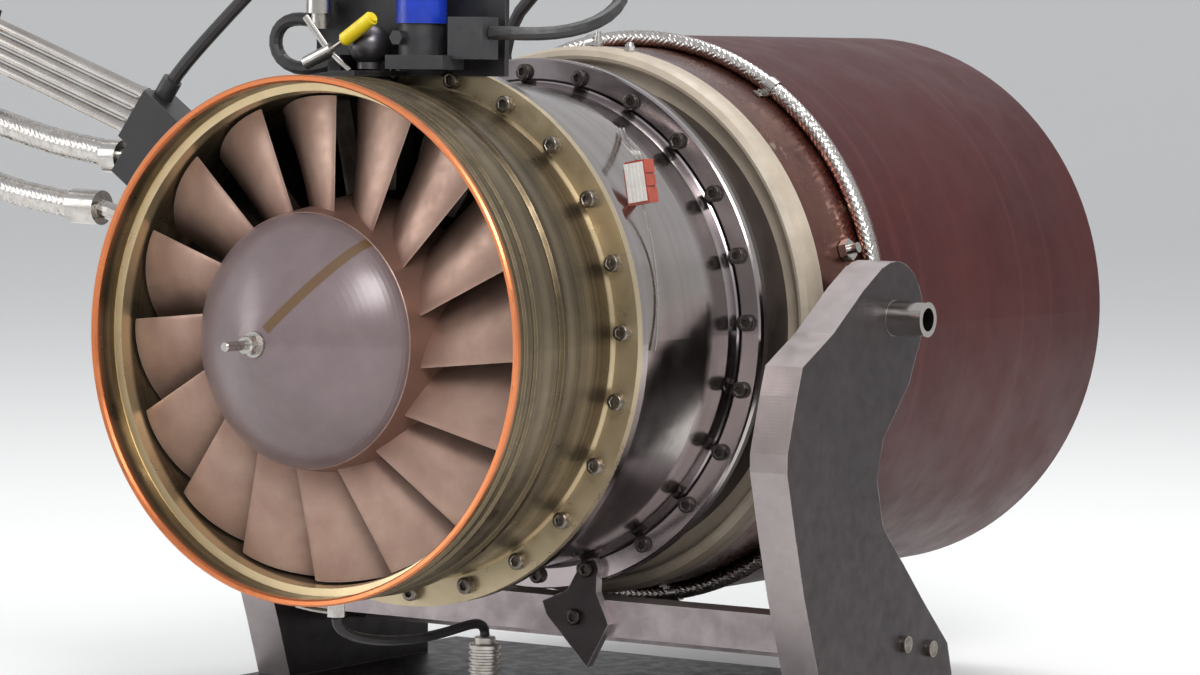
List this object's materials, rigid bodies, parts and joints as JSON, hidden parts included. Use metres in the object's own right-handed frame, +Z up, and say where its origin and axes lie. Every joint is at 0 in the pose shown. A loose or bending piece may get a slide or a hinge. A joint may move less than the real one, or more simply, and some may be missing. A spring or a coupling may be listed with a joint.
{
  "type": "jet engine on a display stand",
  "caption": "Small axial-flow jet engine with open intake, turning rotor and bearings, combustor drum and rear shroud, pinned between two uprights of a low stand.",
  "frame": {"origin": "middle of the underside of the stand's base plate, on the surface that it rests on", "axes": "+Z up, -Y toward the intake end along the engine's axis, +Y toward the exhaust, +X toward the side of the stand that the picture shows in front"},
  "size_m": [0.5658, 0.72, 0.4748],
  "materials": {
    "nose_paint": "satin mauve-grey paint with one brown stripe",
    "bright_steel": "bright turned steel",
    "blade_metal": "satin titanium with a warm tint",
    "inner_blades": "satin metal",
    "ground_steel": "ground steel",
    "hot_alloy": "heat-tinted nickel alloy",
    "olive_casing": "olive-bronze conversion coating",
    "polished_casing": "turned and polished steel",
    "dark_casing": "dark satin paint",
    "cream_paint": "warm grey-cream paint",
    "heated_steel": "heat-tinted sheet steel",
    "maroon_paint": "satin maroon-brown paint",
    "screw_steel": "satin screw steel",
    "braid": "bright woven wire",
    "brick_plastic": "brick-red plastic with a pale end",
    "black_paint": "black satin paint",
    "yellow_plastic": "yellow plastic",
    "blue_plastic": "blue plastic",
    "black_plastic": "black moulded plastic",
    "dark_aluminium": "dark anodised",
    "black_hose": "black rubber",
    "tube_steel": "drawn stainless tube",
    "pale_metal": "pale knurled aluminium",
    "stand_plate": "dark coated plate with bright milled edges",
    "beam_metal": "milled aluminium"
  },
  "bodies": {
    "engine_and_stand": {"bearing_outer_rings": "ground_steel", "intake_casing": "olive_casing", "compressor_casing": "polished_casing", "stator_1": "inner_blades", "stator_2": "inner_blades", "outlet_stator": "inner_blades", "diffuser_casing": "dark_casing", "combustor_front_ring": "cream_paint", "combustor_drum": "heated_steel", "combustor_liner": "hot_alloy", "fuel_manifold": "hot_alloy", "igniter_plugs": "bright_steel", "shaft_tunnel": "ground_steel", "turbine_nozzle": "hot_alloy", "exhaust_cone": "hot_alloy", "exhaust_duct": "hot_alloy", "rear_shroud": "maroon_paint", "casing_screws": "screw_steel", "stand_screws": "screw_steel", "ignition_harness": "braid", "harness_clips": "bright_steel", "pressure_taps": "bright_steel", "thermocouple_plug": "brick_plastic", "thermocouple_wires": "bright_steel", "accessory_bracket": "black_paint", "relief_valve": "bright_steel", "relief_valve_cap": "yellow_plastic", "pressure_sensor": "bright_steel", "solenoid_valve": "black_plastic", "solenoid_coil": "blue_plastic", "fuel_regulator": "dark_aluminium", "fuel_loop_hose": "black_hose", "fuel_feed_hose": "black_hose", "tube_manifold": "black_paint", "supply_tubes": "tube_steel", "tube_end_block": "black_paint", "braided_hoses": "braid", "probe_lead": "black_hose", "drain_fitting": "bright_steel", "sensor_cable": "black_hose", "cable_socket": "pale_metal", "left_upright": "stand_plate", "right_upright": "stand_plate", "cross_beam": "beam_metal", "stand_base": "stand_plate", "trunnion_pins": "tube_steel", "steady_bracket": "stand_plate"},
    "rotor": {"nose_cone": "nose_paint", "nose_washer": "bright_steel", "nose_nut": "bright_steel", "tie_bolt": "bright_steel", "rotor_stage_1": "blade_metal", "rotor_stage_2": "inner_blades", "rotor_stage_3": "inner_blades", "main_shaft": "ground_steel", "bearing_inner_rings": "ground_steel", "turbine_rotor": "hot_alloy", "turbine_nut": "hot_alloy"},
    "front_cage": {"front_bearing_balls": "ground_steel"},
    "rear_cage": {"rear_bearing_balls": "ground_steel"}
  },
  "joints": [
    {"name": "rotor_spin", "type": "hinge", "parent": "engine_and_stand", "child": "rotor", "pos_m": [0, -0.228, 0.245], "axis": [0, 1, 0], "continuous": true},
    {"name": "front_cage_spin", "type": "hinge", "parent": "engine_and_stand", "child": "front_cage", "pos_m": [0, -0.228, 0.245], "axis": [0, 1, 0], "continuous": true},
    {"name": "rear_cage_spin", "type": "hinge", "parent": "engine_and_stand", "child": "rear_cage", "pos_m": [0, 0.108, 0.245], "axis": [0, 1, 0], "continuous": true}
  ],
  "couplings": [
    {"joint": "front_cage_spin", "follows": "rotor_spin", "ratio": 0.41},
    {"joint": "rear_cage_spin", "follows": "rotor_spin", "ratio": 0.41}
  ]
}
